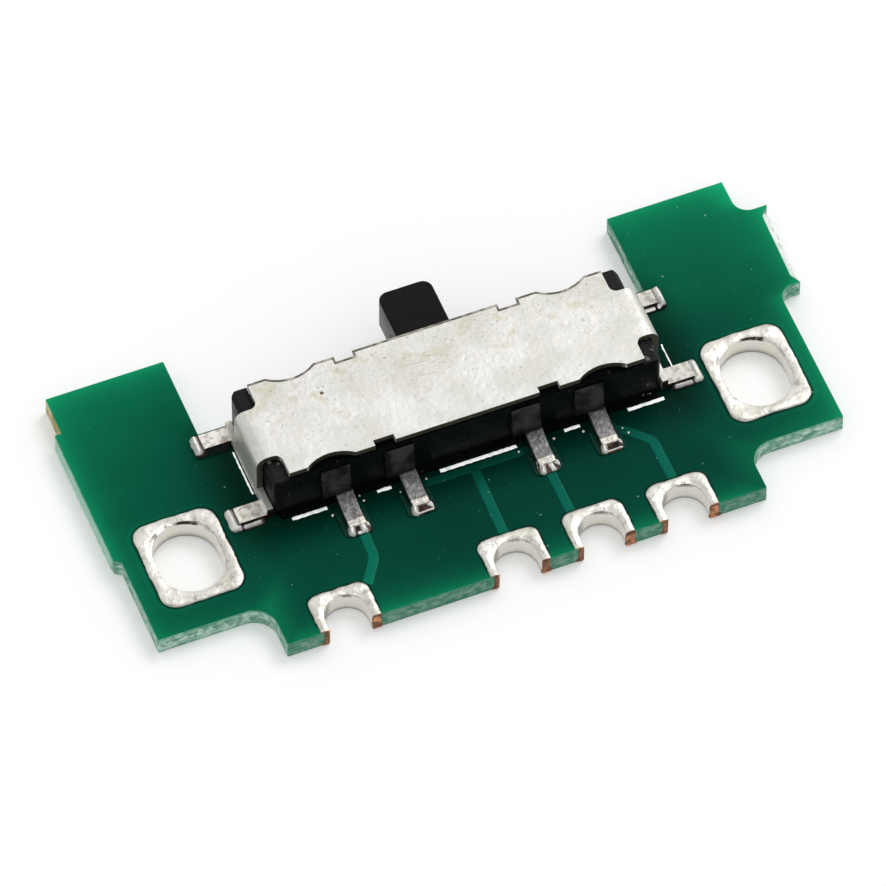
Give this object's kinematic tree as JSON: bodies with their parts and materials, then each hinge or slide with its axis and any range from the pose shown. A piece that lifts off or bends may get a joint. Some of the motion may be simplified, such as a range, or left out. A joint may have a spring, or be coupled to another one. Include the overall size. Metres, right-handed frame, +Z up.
{
  "type": "slide switch on circuit board",
  "caption": "Side-action slide switch in a tinned steel cover, soldered to a small green circuit board with plated mounting slots and half-round edge contacts.",
  "frame": {"origin": "on the underside of the board's laminate, below the middle of the switch housing", "axes": "+X along the board, +Y towards the knob, +Z up out of the component side"},
  "size_m": [0.0171, 0.0081, 0.0019],
  "materials": {
    "solder_mask": "glossy green solder mask over glass epoxy, with pale fibrous cut edges",
    "tinned_copper": "thin satin tin over copper",
    "tinned_steel": "satin tin plating on steel sheet, faintly blotched",
    "black_resin": "moulded black resin",
    "tinned_brass": "matt grey tin over brass strip",
    "solder": "bright reflowed solder",
    "bronze": "spring bronze strip"
  },
  "bodies": {
    "body": {"circuit_board": "solder_mask", "mount_plating_left": "tinned_copper", "mount_plating_right": "tinned_copper", "switch_cover": "tinned_steel", "switch_base": "black_resin", "edge_contact_1": "tinned_copper", "edge_contact_2": "tinned_copper", "edge_contact_3": "tinned_copper", "edge_contact_4": "tinned_copper", "leg_land_1": "tinned_copper", "leg_land_2": "tinned_copper", "leg_land_3": "tinned_copper", "leg_land_4": "tinned_copper", "ground_land_left_front": "tinned_copper", "ground_land_left_back": "tinned_copper", "ground_land_right_front": "tinned_copper", "ground_land_right_back": "tinned_copper", "leg_solder_1": "solder", "leg_solder_2": "solder", "leg_solder_3": "solder", "leg_solder_4": "solder", "ground_solder_left_front": "solder", "ground_solder_left_back": "solder", "ground_solder_right_front": "solder", "ground_solder_right_back": "solder", "terminal_1": "tinned_brass", "terminal_2": "tinned_brass", "terminal_3": "tinned_brass", "terminal_4": "tinned_brass"},
    "knob": {"slider": "black_resin", "contact_bridge": "bronze"}
  },
  "joints": [
    {"name": "knob_slide", "type": "slide", "parent": "body", "child": "knob", "axis": [1, 0, 0], "range_m": [-0.00105, 0.00095]}
  ]
}
